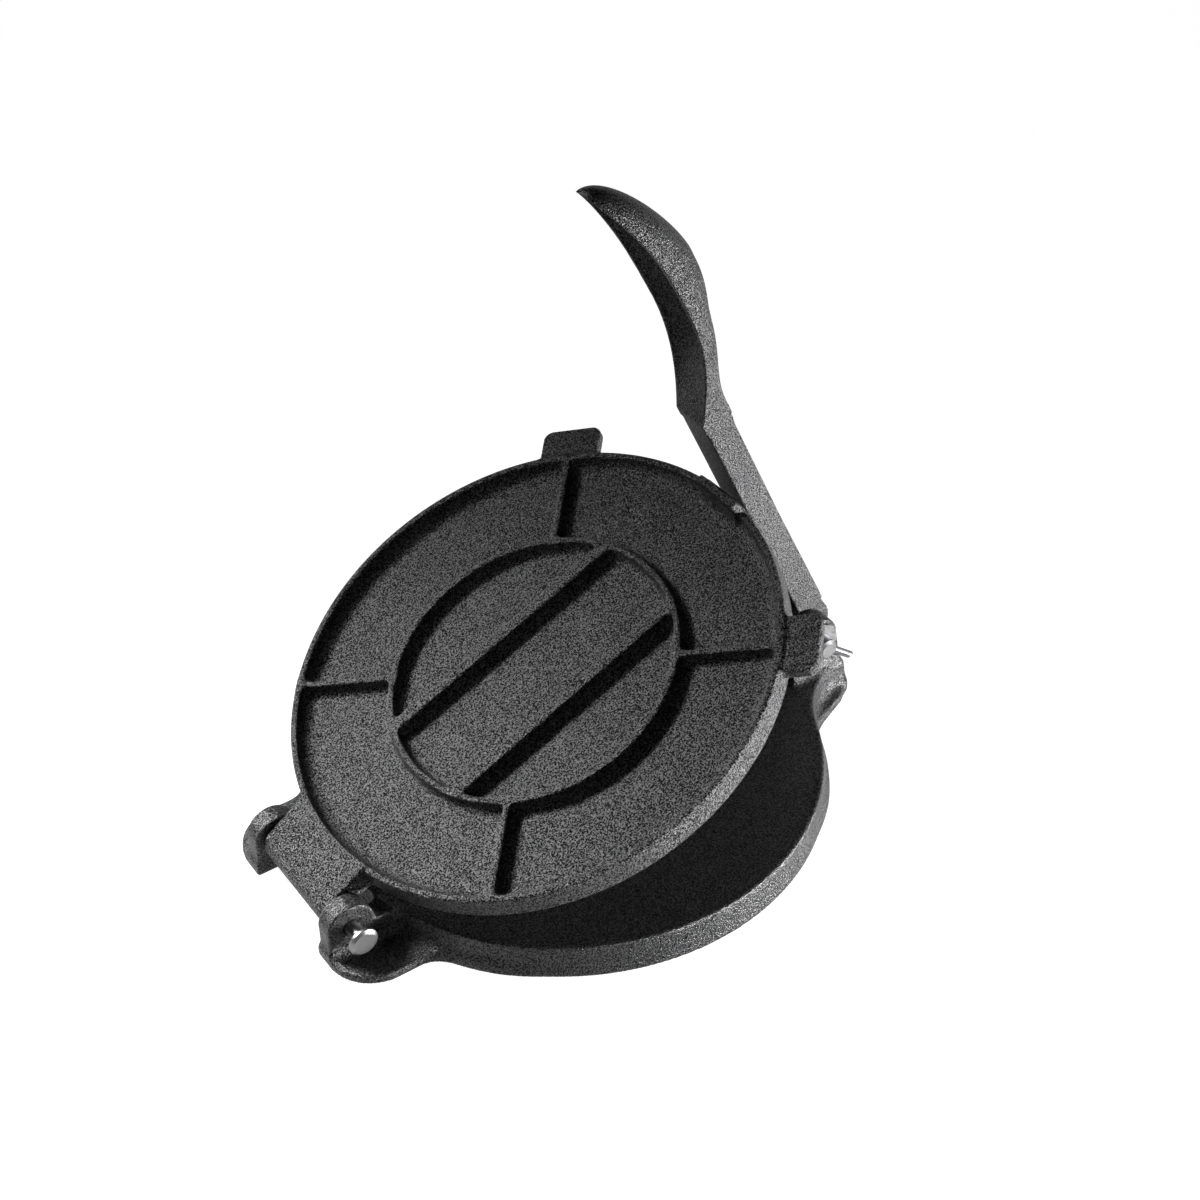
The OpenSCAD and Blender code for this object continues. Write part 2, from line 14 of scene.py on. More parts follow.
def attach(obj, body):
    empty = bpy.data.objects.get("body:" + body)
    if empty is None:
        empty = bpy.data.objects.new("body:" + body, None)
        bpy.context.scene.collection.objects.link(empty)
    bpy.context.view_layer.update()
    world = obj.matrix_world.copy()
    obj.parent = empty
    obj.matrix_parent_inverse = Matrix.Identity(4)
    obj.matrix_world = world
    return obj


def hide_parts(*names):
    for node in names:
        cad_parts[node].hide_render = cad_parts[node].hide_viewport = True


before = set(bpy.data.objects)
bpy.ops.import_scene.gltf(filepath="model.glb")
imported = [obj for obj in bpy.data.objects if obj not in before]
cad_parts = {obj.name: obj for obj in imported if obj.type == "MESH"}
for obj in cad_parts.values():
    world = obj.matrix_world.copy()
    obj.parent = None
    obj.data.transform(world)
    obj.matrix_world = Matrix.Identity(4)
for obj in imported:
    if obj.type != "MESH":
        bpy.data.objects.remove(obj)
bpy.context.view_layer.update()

MM = 0.001
ROOT_2 = math.sqrt(2)

# cells of the castings' skins
FINE = 0.5
BASE_CELL, PLATE_CELL, HANDLE_CELL = FINE * 1.4, FINE * 1.15, FINE * 0.85

# ---- driving sizes, as in the part's source, in millimetres ----
BASE_R, BASE_H = 102, 14
BASE_FLARE = 1.5  # a little under the source's, to stay inside the frame's box
BASE_WALL, SKIRT_WALL = 5, 4
UNDER_RING_R, UNDER_RIB_W, UNDER_RIB_LIFT = 48, 4, 1.5
PLATE_R, PLATE_DRAFT, RIM_H, RIM_W, PLATE_FLOOR = 100.7, 0.6, 10, 2.6, 3
FACE_Z = 14.4
PLATE_SHIFT, OPEN_ANGLE = 1.5, 23.7
RIB_H, RING_R, RIB_W, BAR_Y, BAR_W = 8.8, 59.5, 2.3, 21.8, 5
TAB_W, TAB_REACH, TAB_T, TAB_DROP, TAB_CORNER = 24.8, 13, 4.7, 1.1, 4
PAD_LEN, PAD_H, PAD_W, PAD_INSET = 23, 5.5, 2.8, 2.5
HINGE_X, HINGE_Z, HINGE_PIN_R = 115.2, 14.9, 3
EAR_R, EAR_T, EAR_WEB_H, TONGUE_W, BARREL_R, TONGUE_RISE = 9.8, 8.4, 13.1, 46.4, 7.4, 1.4
SIDE_GAP = 0.4
FOOT_H, HINGE_FOOT_W, HINGE_FOOT_REACH, HINGE_FOOT_CORNER = 3.6, 102, 11, 19
PIVOT_X, PIVOT_Z, PIVOT_PIN_R = 111.7, 30.2, 4.5
LUG_R, LUG_T, LUG_GAP, LUG_TAPER, BLOCK_W = 10, 8.8, 0.6, 0.16, 40
ARM_W, LEAN_ANGLE, ARM_LEN, ARM_BACK = 17, 24.56, 133.6, 13.8
ARM_FRONT_LOW, ARM_FRONT_HIGH, HUB_R, HEEL_OUT = 1.2, 3, 9.7, 3.9
FLARE_BACK = ARM_BACK + 2.1
GRIP_LEN, GRIP_W, GRIP_BOW, GRIP_CURL = 117, 29.6, 13.2, 10
GRIP_BACK = ARM_FRONT_HIGH + GRIP_BOW + 15
GRIP_HOLLOW = 7.5  # deeper than the source's, whose wall is kept thicker

RIM_Z, FLOOR_Z, RIB_Z = FACE_Z + RIM_H, FACE_Z + PLATE_FLOOR, FACE_Z + RIB_H
EAR_IN = TONGUE_W / 2 + SIDE_GAP
EAR_OUT = EAR_IN + EAR_T
LUG_IN = ARM_W / 2 + LUG_GAP
LUG_OUT = LUG_IN + LUG_T
FOOT_END = HINGE_X + HINGE_FOOT_REACH
BLOCK_END = PIVOT_X + LUG_R + LUG_TAPER * PIVOT_Z

HINGE_CLEAR, PIVOT_CLEAR = 0.2, 0.15  # of the bores around their pins
PAST = 2  # how far a cut or a rib reaches past its mate


# ---- distance fields ----

def grid(low, high, cell):
    """Open arrays of x, y and z that span a box with a margin."""
    margin = 2.5 * cell
    axes = [np.arange(a - margin, b + margin + cell / 2, cell) for a, b in zip(low, high)]
    return np.meshgrid(*axes, indexing="ij", sparse=True)


def ease(t, a, b):
    """Smooth step from 0 to 1 as t runs from a to b."""
    u = np.clip((t - a) / (b - a), 0, 1)
    return u * u * (3 - 2 * u)


def both(a, b, r=0.0):
    """Where both solids are, with edges rounded to radius r."""
    if r <= 0:
        return np.maximum(a, b)
    return np.minimum(-r, np.maximum(a, b)) + np.hypot(np.maximum(r + a, 0), np.maximum(r + b, 0))


def either(a, b, r):
    """Where either solid is, with inner corners filleted to radius r."""
    return np.maximum(r, np.minimum(a, b)) - np.hypot(np.maximum(r - a, 0), np.maximum(r - b, 0))


def without(a, b, r):
    """The first solid less the second, with edges rounded to radius r."""
    return both(a, -b, r)


def slab(v, low, high):
    """Where v lies between low and high."""
    return np.maximum(low - v, v - high)


def box2(u, v, u0, u1, v0, v1, r=0.0):
    """Rectangle with corners of radius r."""
    du = np.abs(u - (u0 + u1) / 2) - (u1 - u0) / 2 + r
    dv = np.abs(v - (v0 + v1) / 2) - (v1 - v0) / 2 + r
    return np.hypot(np.maximum(du, 0), np.maximum(dv, 0)) + np.minimum(np.maximum(du, dv), 0) - r


def outline(u, v, points):
    """Signed distance to a polygon."""
    u, v = np.broadcast_arrays(u, v)
    best = np.full(u.shape, np.inf)
    sign = np.ones(u.shape)
    for (au, av), (bu, bv) in zip(points, points[1:] + points[:1]):
        eu, ev = bu - au, bv - av
        wu, wv = u - au, v - av
        t = np.clip((wu * eu + wv * ev) / (eu * eu + ev * ev), 0, 1)
        best = np.minimum(best, (wu - eu * t) ** 2 + (wv - ev * t) ** 2)
        crosses = ((av <= v) & (bv > v)) | ((bv <= v) & (av > v))
        side = (eu * wv - ev * wu) * (1 if ev > 0 else -1) > 0
        sign = np.where(crosses & side, -sign, sign)
    return np.sqrt(best) * sign


def slope_along(d, corner, values, w):
    """Slope along axis d of the field inside each cell, from its corners' values and weights."""
    e, g = (d + 1) % 3, (d + 2) % 3
    return sum(values[:, n] * (2 * c[d] - 1) * w[e][c[e]] * w[g][c[g]] for n, c in enumerate(corner))


def skin(field, axes):
    """Quads over the field's zero surface, one vertex in each cell that it crosses."""
    shape = np.array(field.shape) - 1
    inside = field < 0
    corner = [(i, j, k) for i in (0, 1) for j in (0, 1) for k in (0, 1)]

    def view(a, c):
        return a[tuple(slice(o, o + n) for o, n in zip(c, shape))]

    count = sum(view(inside, c).astype(np.int8) for c in corner)
    cells = np.argwhere((count > 0) & (count < 8))
    number = np.full(shape, -1, np.int64)
    number[tuple(cells.T)] = np.arange(len(cells))
    values = np.stack([field[tuple((cells + c).T)] for c in corner], 1)
    place, hits = np.zeros((len(cells), 3)), np.zeros(len(cells))
    for a, ca in enumerate(corner):
        for b, cb in enumerate(corner):
            if b > a and sum(abs(p - q) for p, q in zip(ca, cb)) == 1:
                fa, fb = values[:, a], values[:, b]
                cut = (fa < 0) != (fb < 0)
                t = np.where(cut, fa / np.where(cut, fa - fb, 1), 0)[:, None]
                place += np.where(cut[:, None], np.array(ca) * (1 - t) + np.array(cb) * t, 0)
                hits += cut
    place /= hits[:, None]
    longest_step = 0.3  # of a cell
    for _ in range(2):  # step each vertex onto the surface along the field's slope
        w = [[1 - place[:, d], place[:, d]] for d in range(3)]
        value = sum(values[:, n] * w[0][c[0]] * w[1][c[1]] * w[2][c[2]] for n, c in enumerate(corner))
        slope = np.stack([slope_along(d, corner, values, w) for d in range(3)], 1)
        step = slope * (value / np.maximum((slope ** 2).sum(1), 1e-9))[:, None]
        place = np.clip(place - np.clip(step, -longest_step, longest_step), 0, 1)
    origin = np.array([a.ravel()[0] for a in axes])
    cell = np.array([a.ravel()[1] - a.ravel()[0] for a in axes])
    vertices = origin + (cells + place) * cell
    quads = []
    for d in range(3):
        e, g = (d + 1) % 3, (d + 2) % 3
        lower = np.take(inside, range(shape[d]), axis=d)
        upper = np.take(inside, range(1, shape[d] + 1), axis=d)
        edge = np.argwhere(lower != upper)
        among = (edge[:, e] > 0) & (edge[:, g] > 0) & (edge[:, e] < shape[e]) & (edge[:, g] < shape[g])
        edge = edge[among]
        goes_out = lower[tuple(edge.T)]
        around = []
        for de, dg in ((1, 1), (0, 1), (0, 0), (1, 0)):
            at = edge.copy()
            at[:, e] -= de
            at[:, g] -= dg
            around.append(number[tuple(at.T)])
        quad = np.stack(around, 1)
        quad[~goes_out] = quad[~goes_out][:, ::-1]
        quads.append(quad)
    return vertices, np.concatenate(quads)


def casting(name, field, axes, body, node, place=Matrix.Identity(4)):
    """A mesh piece from a field in millimetres, set in the frame by place."""
    vertices, quads = skin(field, axes)
    mesh = bpy.data.meshes.new(name)
    mesh.vertices.add(len(vertices))
    mesh.vertices.foreach_set("co", (vertices * MM).astype(np.float32).ravel())
    mesh.loops.add(quads.size)
    mesh.loops.foreach_set("vertex_index", quads.astype(np.int32).ravel())
    mesh.polygons.add(len(quads))
    mesh.polygons.foreach_set("loop_start", np.arange(0, quads.size, 4, dtype=np.int32))
    mesh.update(calc_edges=True)
    mesh.transform(place)
    mesh.polygons.foreach_set("use_smooth", np.ones(len(mesh.polygons), bool))
    piece = bpy.data.objects.new(name, mesh)
    bpy.context.scene.collection.objects.link(piece)
    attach(piece, body)
    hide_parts(node)
    return piece


# ---- base ----

def base_field(x, y, z):
    """The base where it stands in the frame, which also holds the ears and the lugs."""
    r = np.hypot(x, y)
    flare = BASE_FLARE * (1 - z / BASE_H)
    half = BLOCK_W / 2
    # disc and handle block share one side wall, joined by wide hollow curves
    block_edge, block_corner, neck = BLOCK_END - 1.6, 3, 22
    plan = either(r - BASE_R, box2(x, y, 0, block_edge, -half, half, block_corner), neck)
    top = both(plan - flare, z - BASE_H, 0.9)

    # flat feet with sides that lean in
    foot_start, lean_in, foot_neck = -40, 0.05, 7
    foot = box2(x, y, -FOOT_END, foot_start, -HINGE_FOOT_W / 2, HINGE_FOOT_W / 2, HINGE_FOOT_CORNER)
    foot = either(foot, r - BASE_R - BASE_FLARE, foot_neck)
    tip_half = [(80, 40), (95.5, 36.8), (118.4, 26.8), (124.4, 22), (BLOCK_END, 16)]
    tip = [(u, -v) for u, v in tip_half] + tip_half[::-1]
    tip_corner, tip_neck = 0.3, 3
    foot = either(foot, outline(x, y, tip) - tip_corner, tip_neck)
    feet = both(foot + lean_in * z, z - FOOT_H, 1.2)

    # ears and their webs
    web_end, under = -88, -5
    ear = np.hypot(x + HINGE_X, z - HINGE_Z) - EAR_R
    stem = box2(x, z, -HINGE_X - EAR_R, -HINGE_X + EAR_R, under, HINGE_Z)
    web = box2(x, z, -HINGE_X, web_end, under, EAR_WEB_H)
    ear = either(np.minimum(ear, stem), web, 2.5)
    ear = both(ear, slab(np.abs(y), EAR_IN, EAR_OUT), 0.7)
    feet = either(feet, ear, 4)

    # lugs, with upright outer faces that spread into the block
    spread_h = 8
    dx, dz = x - PIVOT_X, z - PIVOT_Z
    tilt = math.atan(LUG_TAPER)
    side = np.abs(dx) * math.cos(tilt) + dz * math.sin(tilt) - LUG_R
    lug = np.where(dz > np.abs(dx) * math.tan(tilt), np.hypot(dx, dz) - LUG_R, side)
    spread = np.clip((BASE_H + spread_h - z) / spread_h, 0, 1) ** 2 * (half - LUG_OUT)
    lug = both(lug, slab(np.abs(y), LUG_IN - PAST, LUG_OUT + spread), 1.0)
    solid = either(top, lug, 2.5)

    # hollow corners only where the feet stand out of the disc
    none_to, full_from, inset = 60, 82, 0.05
    share = ease(np.abs(x), none_to, full_from)
    solid = either(solid, feet, 4.5) * share + np.minimum(solid, feet) * (1 - share)
    solid = both(solid, slab(x, -FOOT_END + inset, BLOCK_END + 1), 0.4)

    # slot for the handle, opening between the ears
    slot_start = 98
    slot = both(both(np.abs(y) - LUG_IN, slot_start - x), FOOT_H - z, 1.5)
    solid = without(solid, slot, 0.8)
    gap = both(np.abs(y) - EAR_IN, x + BASE_R + BASE_FLARE, 2)
    solid = without(solid, both(gap, z - HINGE_Z - EAR_R - PAST), 0.8)

    # hollow underside with a ring and a cross of ribs
    hollow = both(r - BASE_R + SKIRT_WALL, z - BASE_H + BASE_WALL, 2.5)
    ring = slab(r, UNDER_RING_R - UNDER_RIB_W, UNDER_RING_R)
    rib = np.minimum(*(both(slab((x + s * y) / ROOT_2, -UNDER_RIB_W / 2, UNDER_RIB_W / 2),
                            UNDER_RING_R - PAST - r) for s in (-1, 1)))
    ribs = both(either(ring, rib, 2), UNDER_RIB_LIFT - z, 0.8)
    solid = without(solid, without(hollow, ribs, 1.5), 0.7)
    solid = both(solid, -z, 0.6)

    # clear of the shut plate
    shut_clear = 0.4
    shut = both(np.hypot(x + PLATE_SHIFT, y) - PLATE_R - shut_clear, BASE_H - z)
    solid = without(solid, shut, 0.3)

    hinge_bore = np.hypot(x + HINGE_X, z - HINGE_Z) - HINGE_PIN_R - HINGE_CLEAR
    pivot_bore = np.hypot(dx, dz) - PIVOT_PIN_R - PIVOT_CLEAR
    return without(without(solid, hinge_bore, 0.4), pivot_bore, 0.4)


# ---- top plate, shut ----

def plate_field(x, y, z):
    """The top plate as it lies when shut, with its tongue, ribs, pad and tabs."""
    cx = x + PLATE_SHIFT
    r = np.hypot(cx, y)
    up = (z - FACE_Z) / RIM_H
    wall = r - (PLATE_R - PLATE_DRAFT * up)
    rim_in = PLATE_R - PLATE_DRAFT - RIM_W
    body = both(wall, z - RIM_Z, 0.7)

    # tongue that carries the plate on its hinge pin, with a top that falls off to the barrel
    root_x, fall_x = -85, -97
    top = RIM_Z + TONGUE_RISE
    run, rise = HINGE_X + fall_x, top - HINGE_Z
    tangent = math.atan2(rise, run) + math.acos(BARREL_R / math.hypot(run, rise))
    touch = (-HINGE_X + BARREL_R * math.cos(tangent), HINGE_Z + BARREL_R * math.sin(tangent))
    tongue = outline(x, z, [(-HINGE_X, HINGE_Z), (-HINGE_X, FACE_Z), (root_x, FACE_Z),
                            (root_x, top), (fall_x, top), touch])
    tongue = np.minimum(tongue, np.hypot(x + HINGE_X, z - HINGE_Z) - BARREL_R)
    tongue = both(tongue, np.abs(y) - TONGUE_W / 2, 1.0)
    body = either(body, tongue, 1.2)

    # dish, with a drafted wall and a wide hollow corner
    wall_draft, dish_corner = 0.07, 6
    hollow = both(r - rim_in + wall_draft * (RIM_Z - z), FLOOR_Z - z, dish_corner)
    body = without(body, hollow, 0.6)

    # ring, ribs and bars, thicker toward the floor
    rib_draft = 0.12
    draft = rib_draft * (RIB_Z - z)
    ring = np.abs(r - RING_R + RIB_W / 2) - RIB_W / 2 - draft
    diagonal = [np.abs(cx + s * y) / ROOT_2 - RIB_W / 2 - draft for s in (-1, 1)]
    ribs = both(np.minimum(*diagonal), np.maximum(RING_R - PAST - r, r - rim_in - 0.5))
    ring = either(ring, ribs, 2.5)
    bars = both(np.abs(np.abs(y) - BAR_Y) - BAR_W / 2 - draft, r - RING_R + 1)
    ring = either(ring, bars, 2.0)
    ring = both(ring, np.maximum(z - RIB_Z, FACE_Z + 1 - z), 0.6)
    body = either(body, ring, 3.5)

    # pad that the handle presses on, over a thicker stretch of rim
    pad_out, pad_top = PLATE_R - PAD_INSET, RIM_Z + PAD_H
    pad = outline(cx, z, [(rim_in - 5.5, FLOOR_Z - 1), (PLATE_R - 1, FLOOR_Z - 1), (PLATE_R - 0.7, RIM_Z),
                          (pad_out, pad_top), (pad_out - PAD_W, pad_top),
                          (rim_in - 2, RIM_Z + 0.5), (rim_in - 3.2, FLOOR_Z + 3)])
    pad = both(pad, np.abs(y) - PAD_LEN / 2, 0.7)
    body = either(body, pad, 1.5)

    # lifting tabs
    tab_start, tab_top = 60, RIM_Z - TAB_DROP
    for s in (-1, 1):
        u, v = (cx + s * y) / ROOT_2, (y - s * cx) / ROOT_2
        tab = box2(u, v, tab_start, PLATE_R + TAB_REACH, -TAB_W / 2, TAB_W / 2, TAB_CORNER)
        tab = both(tab, slab(z, tab_top - TAB_T, tab_top), 1.0)
        body = either(body, both(tab, rim_in + 1 - r), 1.6)

    body = both(body, FACE_Z - z, 0.5)
    bore = np.hypot(x + HINGE_X, z - HINGE_Z) - HINGE_PIN_R - HINGE_CLEAR
    return without(body, bore, 0.5)


# ---- handle, upright with its pivot at the origin ----
# t runs along the grip, from 0 at its step to 1 at its tip

def grip_rim(t):
    """Plane of the grip's hollow front, bowed back and then curled forward."""
    bowed_by, curl_from = 0.42, 0.45
    rise, fall = 1 - np.clip(t / bowed_by, 0, 1), np.clip((t - curl_from) / (1 - curl_from), 0, 1.3)
    return ARM_FRONT_HIGH + GRIP_BOW * (1 - rise ** 2) - GRIP_CURL * fall ** 2.6


def grip_back(t):
    """Crest of the grip's rounded back."""
    swell_from, swell_to, fall_from = 0.04, 0.54, 0.6
    low = FLARE_BACK + (GRIP_BACK - FLARE_BACK) * ease(t, swell_from, swell_to)
    u = np.clip((t - fall_from) / (1 - fall_from), 0, 1)
    high = GRIP_BACK - (GRIP_BACK - grip_rim(1.0) - 1) * (1 - (1 - u ** 1.4) ** 0.6)
    return np.where(t < fall_from, low, high)


def handle_field(x, y, z):
    """The handle's arm and hub, and its grip like a long shell."""
    t = (z - ARM_LEN) / GRIP_LEN
    widest = 0.74
    u = np.clip((t - widest) / (1 - widest), 0, 1)
    half = ARM_W / 2 + (GRIP_W - ARM_W) / 2 * np.sin(np.pi / 2 * np.clip(t / widest, 0, 1))
    half = np.maximum(half * np.sqrt(1 - u ** 2), 0.5)
    rim, back = grip_rim(t), grip_back(t)
    depth = np.maximum(back - rim, 0.8)
    square, rounded = 16, 2.1  # powers of the section, at the arm and further up
    power = square + (rounded - square) * ease(t, -0.1, 0.4)
    # back over the rim's plane, as half of a superellipse
    sx, sy = np.maximum(x - rim, 0) / depth, np.abs(y) / half
    shell = ((sx ** power + sy ** power) ** (1 / power) - 1) * np.minimum(depth, half)
    hollow = GRIP_HOLLOW * ease(t, 0.02, 0.34) * (1 - 0.8 * ease(t, 0.8, 1.0))
    hollow_half, rim_lift = half * 0.86, 0.4
    across = np.clip(1 - (y / hollow_half) ** 2, 0, 1)
    front = rim - rim_lift + hollow * across ** 0.6 - x
    grip = both(shell, front, 0.35)
    root, tip = ARM_LEN - 5, ARM_LEN + GRIP_LEN - 0.4
    grip = both(grip, slab(z, root, tip), 0.6)

    arm = outline(x, z, [(ARM_FRONT_LOW, 0), (ARM_FRONT_HIGH, ARM_LEN), (FLARE_BACK, ARM_LEN),
                         (ARM_BACK + 0.8, ARM_LEN - 11), (ARM_BACK, ARM_LEN / 2),
                         (ARM_BACK, 8), (ARM_BACK - 0.8, 6.5), (HUB_R + HEEL_OUT - 0.3, 3), (HUB_R, -2)])
    heel_r = HUB_R + HEEL_OUT / 2 - 1.3
    heel_x = HUB_R + HEEL_OUT - heel_r
    hub = np.minimum(np.hypot(x, z) - HUB_R, np.hypot(x - heel_x, z) - heel_r)
    arm = both(np.minimum(arm, hub), np.abs(y) - ARM_W / 2, 1.0)
    bore = np.hypot(x, z) - PIVOT_PIN_R - PIVOT_CLEAR
    return without(np.minimum(arm, grip), bore, 0.4)


def turn(x, z, degrees):
    """Turns a piece about an axis along Y through x, z, in millimetres."""
    at = Vector((x * MM, 0, z * MM))
    return Matrix.Translation(at) @ Matrix.Rotation(math.radians(degrees), 4, "Y") @ Matrix.Translation(-at)


axes = grid((-127, -104, 0), (127, 104, 41), BASE_CELL)
base = casting("base_casting", base_field(*axes), axes, "base", "base")

axes = grid((-123, -101, FACE_Z - 7.5), (114, 101, 31), PLATE_CELL)
plate = casting("plate_casting", plate_field(*axes), axes, "plate", "top_plate",
                turn(-HINGE_X, HINGE_Z, -OPEN_ANGLE))

axes = grid((-10, -15, -10), (31, 15, 252), HANDLE_CELL)
lean = turn(PIVOT_X, PIVOT_Z, -LEAN_ANGLE) @ Matrix.Translation((PIVOT_X * MM, 0, PIVOT_Z * MM))
handle = casting("handle_casting", handle_field(*axes), axes, "lever", "handle", lean)


# ---- materials ----

def shader(name):
    """A new material with its node tree and its surface node."""
    material = bpy.data.materials.new(name)
    material.use_nodes = True
    tree = material.node_tree
    return material, tree, tree.nodes["Principled BSDF"]


def node(tree, kind, **settings):
    """Adds a node; settings are its properties, or its inputs where it has one of that name."""
    made = tree.nodes.new(kind)
    for key, value in settings.items():
        name = key.replace("_", " ").title()
        if name in made.inputs:
            made.inputs[name].default_value = value
        else:
            setattr(made, key, value)
    return made


def link(tree, a, b):
    tree.links.new(a, b)


def noise(tree, scale, detail=3.0, roughness=0.5):
    """Noise in the piece's own metres; its spots are about 1 / scale across."""
    coordinates = node(tree, "ShaderNodeTexCoord")
    made = node(tree, "ShaderNodeTexNoise", scale=scale, detail=detail, roughness=roughness)
    link(tree, coordinates.outputs["Object"], made.inputs["Vector"])
    return made.outputs["Fac"]


def ramp(tree, value, low, high, a, b):
    """Maps value from low..high to a..b, numbers or colours."""
    if isinstance(a, (int, float)):
        made = node(tree, "ShaderNodeMapRange")
        for name, v in zip(("From Min", "From Max", "To Min", "To Max"), (low, high, a, b)):
            made.inputs[name].default_value = v
        link(tree, value, made.inputs["Value"])
        return made.outputs["Result"]
    made = node(tree, "ShaderNodeValToRGB")
    made.color_ramp.elements[0].position, made.color_ramp.elements[1].position = low, high
    made.color_ramp.elements[0].color, made.color_ramp.elements[1].color = (*a, 1), (*b, 1)
    link(tree, value, made.inputs["Fac"])
    return made.outputs["Color"]


def bump(tree, height, distance, strength=1.0, under=None):
    """Relief of the given depth in metres, over the relief under it if there is one."""
    made = node(tree, "ShaderNodeBump")
    made.inputs["Strength"].default_value = strength
    made.inputs["Distance"].default_value = distance
    link(tree, height, made.inputs["Height"])
    if under:
        link(tree, under, made.inputs["Normal"])
    return made.outputs["Normal"]


def cast_iron(name, dark, light, sand_scale, softness, relief):
    """Seasoned cast iron: black, with the sandy grain of its mould.

    softness is how gradually dark grains turn into light ones, relief how high they stand.
    """
    pit_scale, pit_depth, patch_scale, mid = 420, 0.0006, 28, 0.52
    material, tree, surface = shader(name)
    sand = noise(tree, sand_scale, 2.0, 0.6)
    pits = noise(tree, pit_scale, 3.0, 0.55)
    patches = noise(tree, patch_scale, 4.0, 0.6)
    low, high = mid - softness, mid + softness
    link(tree, ramp(tree, sand, low, high, dark, light), surface.inputs["Base Color"])
    link(tree, ramp(tree, sand, low, high, 0.05, 1.0), surface.inputs["Specular IOR Level"])
    link(tree, ramp(tree, patches, 0.3, 0.7, 0.3, 0.4), surface.inputs["Roughness"])
    normal = bump(tree, pits, pit_depth, 0.6)
    normal = bump(tree, sand, relief / sand_scale, 1.0, normal)
    link(tree, normal, surface.inputs["Normal"])
    surface.inputs["IOR"].default_value = 1.5
    return material


def steel(name, colour, roughness):
    """Drawn steel wire and rod with faint marks."""
    mark_scale, mark_depth, wear = 900, 0.0001, 0.85
    material, tree, surface = shader(name)
    marks = noise(tree, mark_scale, 2.0)
    surface.inputs["Metallic"].default_value = 1.0
    worn = tuple(c * wear for c in colour)
    link(tree, ramp(tree, marks, 0.3, 0.7, worn, colour), surface.inputs["Base Color"])
    link(tree, ramp(tree, marks, 0.3, 0.7, roughness, roughness + 0.12), surface.inputs["Roughness"])
    link(tree, bump(tree, marks, mark_depth, 0.3), surface.inputs["Normal"])
    return material


def dress(piece, material):
    """Gives a piece its material, in a named slot."""
    piece.data.materials.clear()
    piece.data.materials.append(material)


# The base's light grains are mixed darker than the plate's and the handle's. That is painted shade for the
# base lying under the open plate; the grain itself is the castings' own.
for piece, name, dark, light, sand_scale, softness, relief in (
        (base, "base_iron", (0.004, 0.004, 0.0045), (0.036, 0.036, 0.037), 1600, 0.12, 0.7),
        (plate, "plate_iron", (0.003, 0.003, 0.0035), (0.055, 0.055, 0.056), 1650, 0.055, 1.2),
        (handle, "handle_iron", (0.005, 0.005, 0.0055), (0.06, 0.06, 0.061), 1750, 0.09, 1.0)):
    dress(piece, cast_iron(name, dark, light, sand_scale, softness, relief))
bright = steel("pin_steel", (0.27, 0.27, 0.275), 0.34)
for name in ("hinge_pin", "hinge_split_pin", "handle_pin", "handle_washer", "handle_split_pin"):
    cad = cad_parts[name]
    cad.data.materials.clear()
    cad.data.materials.append(bright)


# ---- floor, light and camera ----

CAMERA_AT = Vector((-0.35141, -0.55674, 0.64053))
CAMERA_TOWARD = Vector((0.42469, 0.64082, -0.63952))  # a direction
CAMERA_ROLL = -1.10  # degrees
LENS, SENSOR = 68.68, 36  # millimetres

GROUND_SIZE, GROUND_Z = 8, -0.0005
GROUND_BOUNCE, GROUND_SEEN = 0.4, 0.3  # greys: for light sent back, and where the floor is looked at
GROUND_IN_METAL, GROUND_WHITE = 0.5, 0.985  # glow: in reflections, and to the camera
ROOM, ROOM_WHITE = 0.02, 1.0  # the world's strength: on the object, and to the camera


def stage_plane(name, size, z):
    """A level square of stage, which is no part of the object."""
    mesh = bpy.data.meshes.new(name)
    h = size / 2
    mesh.from_pydata([(-h, -h, z), (h, -h, z), (h, h, z), (-h, h, z)], [], [(0, 1, 2, 3)])
    plane = bpy.data.objects.new(name, mesh)
    bpy.context.scene.collection.objects.link(plane)
    return plane


def grey_diffuse(tree, value):
    made = node(tree, "ShaderNodeBsdfDiffuse")
    made.inputs["Color"].default_value = (value, value, value, 1)
    return made.outputs[0]


def camera_switch(tree, path, elsewhere, to_camera):
    """A strength with one value for camera rays and another for all others."""
    made = node(tree, "ShaderNodeMapRange")
    made.inputs["To Min"].default_value = elsewhere
    made.inputs["To Max"].default_value = to_camera
    link(tree, path.outputs["Is Camera Ray"], made.inputs["Value"])
    return made.outputs["Result"]


def larger(tree, a, b):
    made = node(tree, "ShaderNodeMath", operation="MAXIMUM")
    link(tree, a, made.inputs[0])
    link(tree, b, made.inputs[1])
    return made.outputs[0]


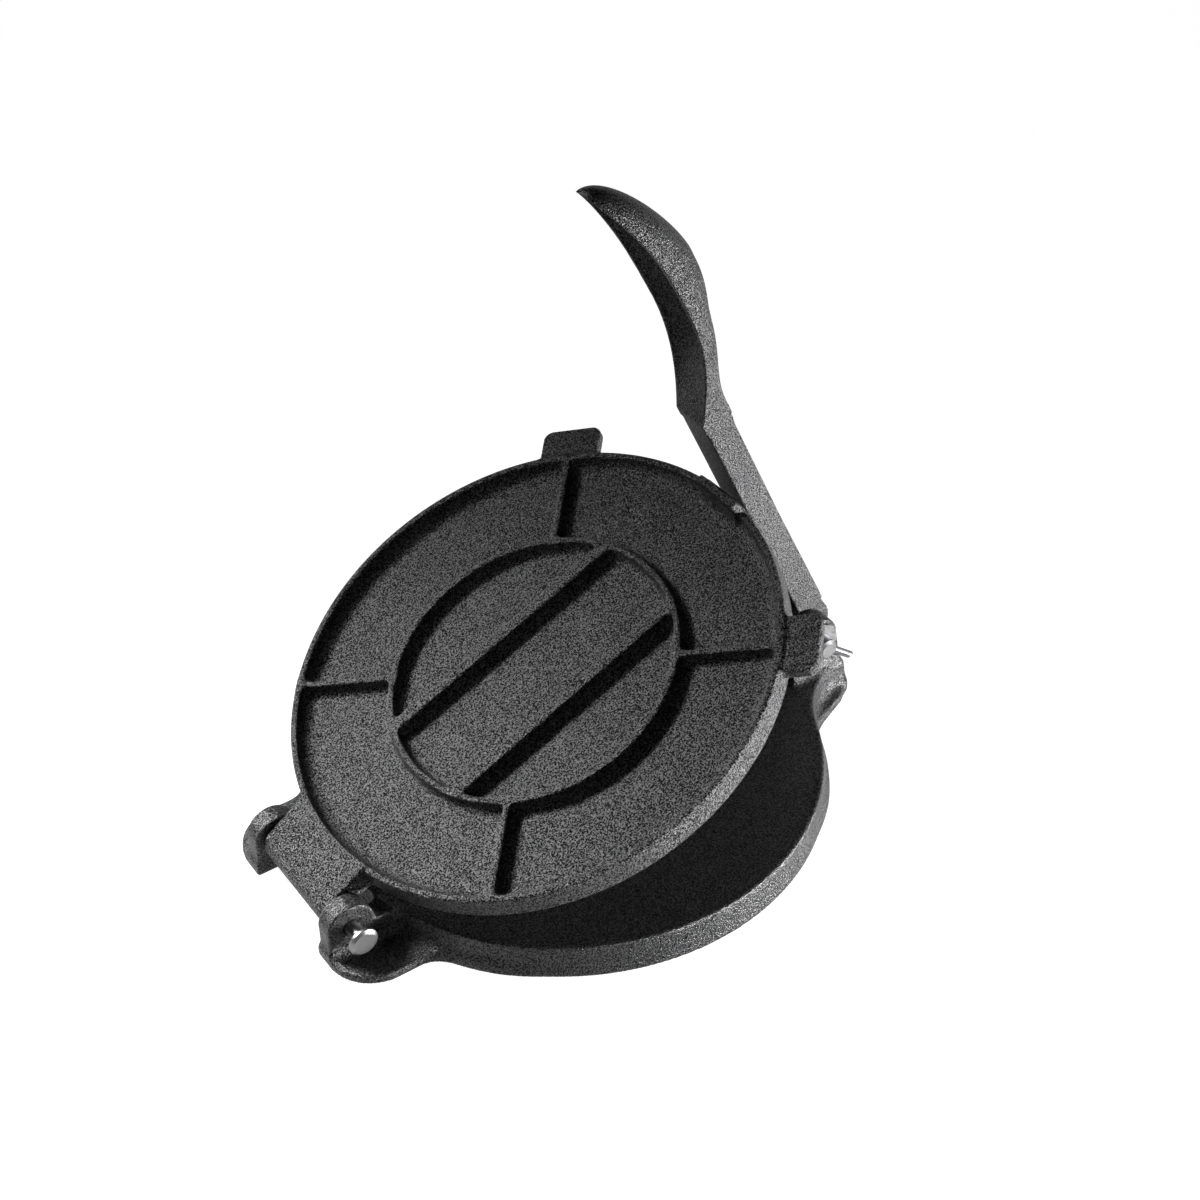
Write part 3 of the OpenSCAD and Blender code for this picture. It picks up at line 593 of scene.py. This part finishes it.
def white_floor():
    """White wherever it is looked at, also in a reflection; grey to the light that it sends back."""
    floor = stage_plane("floor", GROUND_SIZE, GROUND_Z)
    material = bpy.data.materials.new("floor_white")
    material.use_nodes = True
    tree = material.node_tree
    tree.nodes.clear()
    path = node(tree, "ShaderNodeLightPath")
    glow = node(tree, "ShaderNodeEmission")
    link(tree, camera_switch(tree, path, GROUND_IN_METAL, GROUND_WHITE), glow.inputs["Strength"])
    seen = node(tree, "ShaderNodeAddShader")
    link(tree, grey_diffuse(tree, GROUND_SEEN), seen.inputs[0])
    link(tree, glow.outputs[0], seen.inputs[1])
    looked_at = larger(tree, path.outputs["Is Camera Ray"], path.outputs["Is Glossy Ray"])
    looked_at = larger(tree, looked_at, path.outputs["Is Transmission Ray"])
    mix = node(tree, "ShaderNodeMixShader")
    link(tree, looked_at, mix.inputs[0])
    link(tree, grey_diffuse(tree, GROUND_BOUNCE), mix.inputs[1])
    link(tree, seen.outputs[0], mix.inputs[2])
    link(tree, mix.outputs[0], node(tree, "ShaderNodeOutputMaterial").inputs["Surface"])
    floor.data.materials.append(material)


def area_lamp(name, at, toward, size, watts, beam=180):
    """A rectangular lamp, aimed; beam is its spread in degrees."""
    lamp = bpy.data.lights.new(name, "AREA")
    lamp.shape, lamp.size, lamp.size_y, lamp.energy = "RECTANGLE", size[0], size[1], watts
    lamp.spread = math.radians(beam)
    made = bpy.data.objects.new(name, lamp)
    bpy.context.scene.collection.objects.link(made)
    made.location = at
    made.rotation_euler = (Vector(toward) - Vector(at)).to_track_quat("-Z", "Y").to_euler()
    made.visible_camera = False


def camera():
    data = bpy.data.cameras.new("camera")
    data.lens, data.sensor_width = LENS, SENSOR
    made = bpy.data.objects.new("camera", data)
    bpy.context.scene.collection.objects.link(made)
    made.rotation_mode = "QUATERNION"
    made.location = CAMERA_AT
    roll = Matrix.Rotation(math.radians(CAMERA_ROLL), 3, "Z").to_quaternion()
    made.rotation_quaternion = CAMERA_TOWARD.to_track_quat("-Z", "Y") @ roll
    bpy.context.scene.camera = made


def studio_world():
    """White to the camera, faint to everything else."""
    world = bpy.data.worlds.new("studio")
    bpy.context.scene.world = world
    world.use_nodes = True
    tree = world.node_tree
    background = tree.nodes["Background"]
    path = node(tree, "ShaderNodeLightPath")
    link(tree, camera_switch(tree, path, ROOM, ROOM_WHITE), background.inputs["Strength"])
    background.inputs["Color"].default_value = (1, 1, 1, 1)


white_floor()
camera()
studio_world()
# name, place, aim, size, watts, beam
area_lamp("front_right", (0.4, -0.48, 0.05), (0.05, -0.06, 0.04), (0.2, 0.08), 2.4, 70)
area_lamp("back_left", (-0.33, 0.42, 0.46), (-0.12, -0.06, 0.02), (0.16, 0.16), 0.8, 42)
area_lamp("back", (-0.2, 0.3, 0.44), (-0.05, 0, 0.05), (0.2, 0.2), 0.45)
area_lamp("fill", (-0.5, -0.75, 0.55), (-0.03, 0.03, 0.06), (0.3, 0.3), 0.02, 22)
bpy.context.scene.view_settings.view_transform = "Standard"
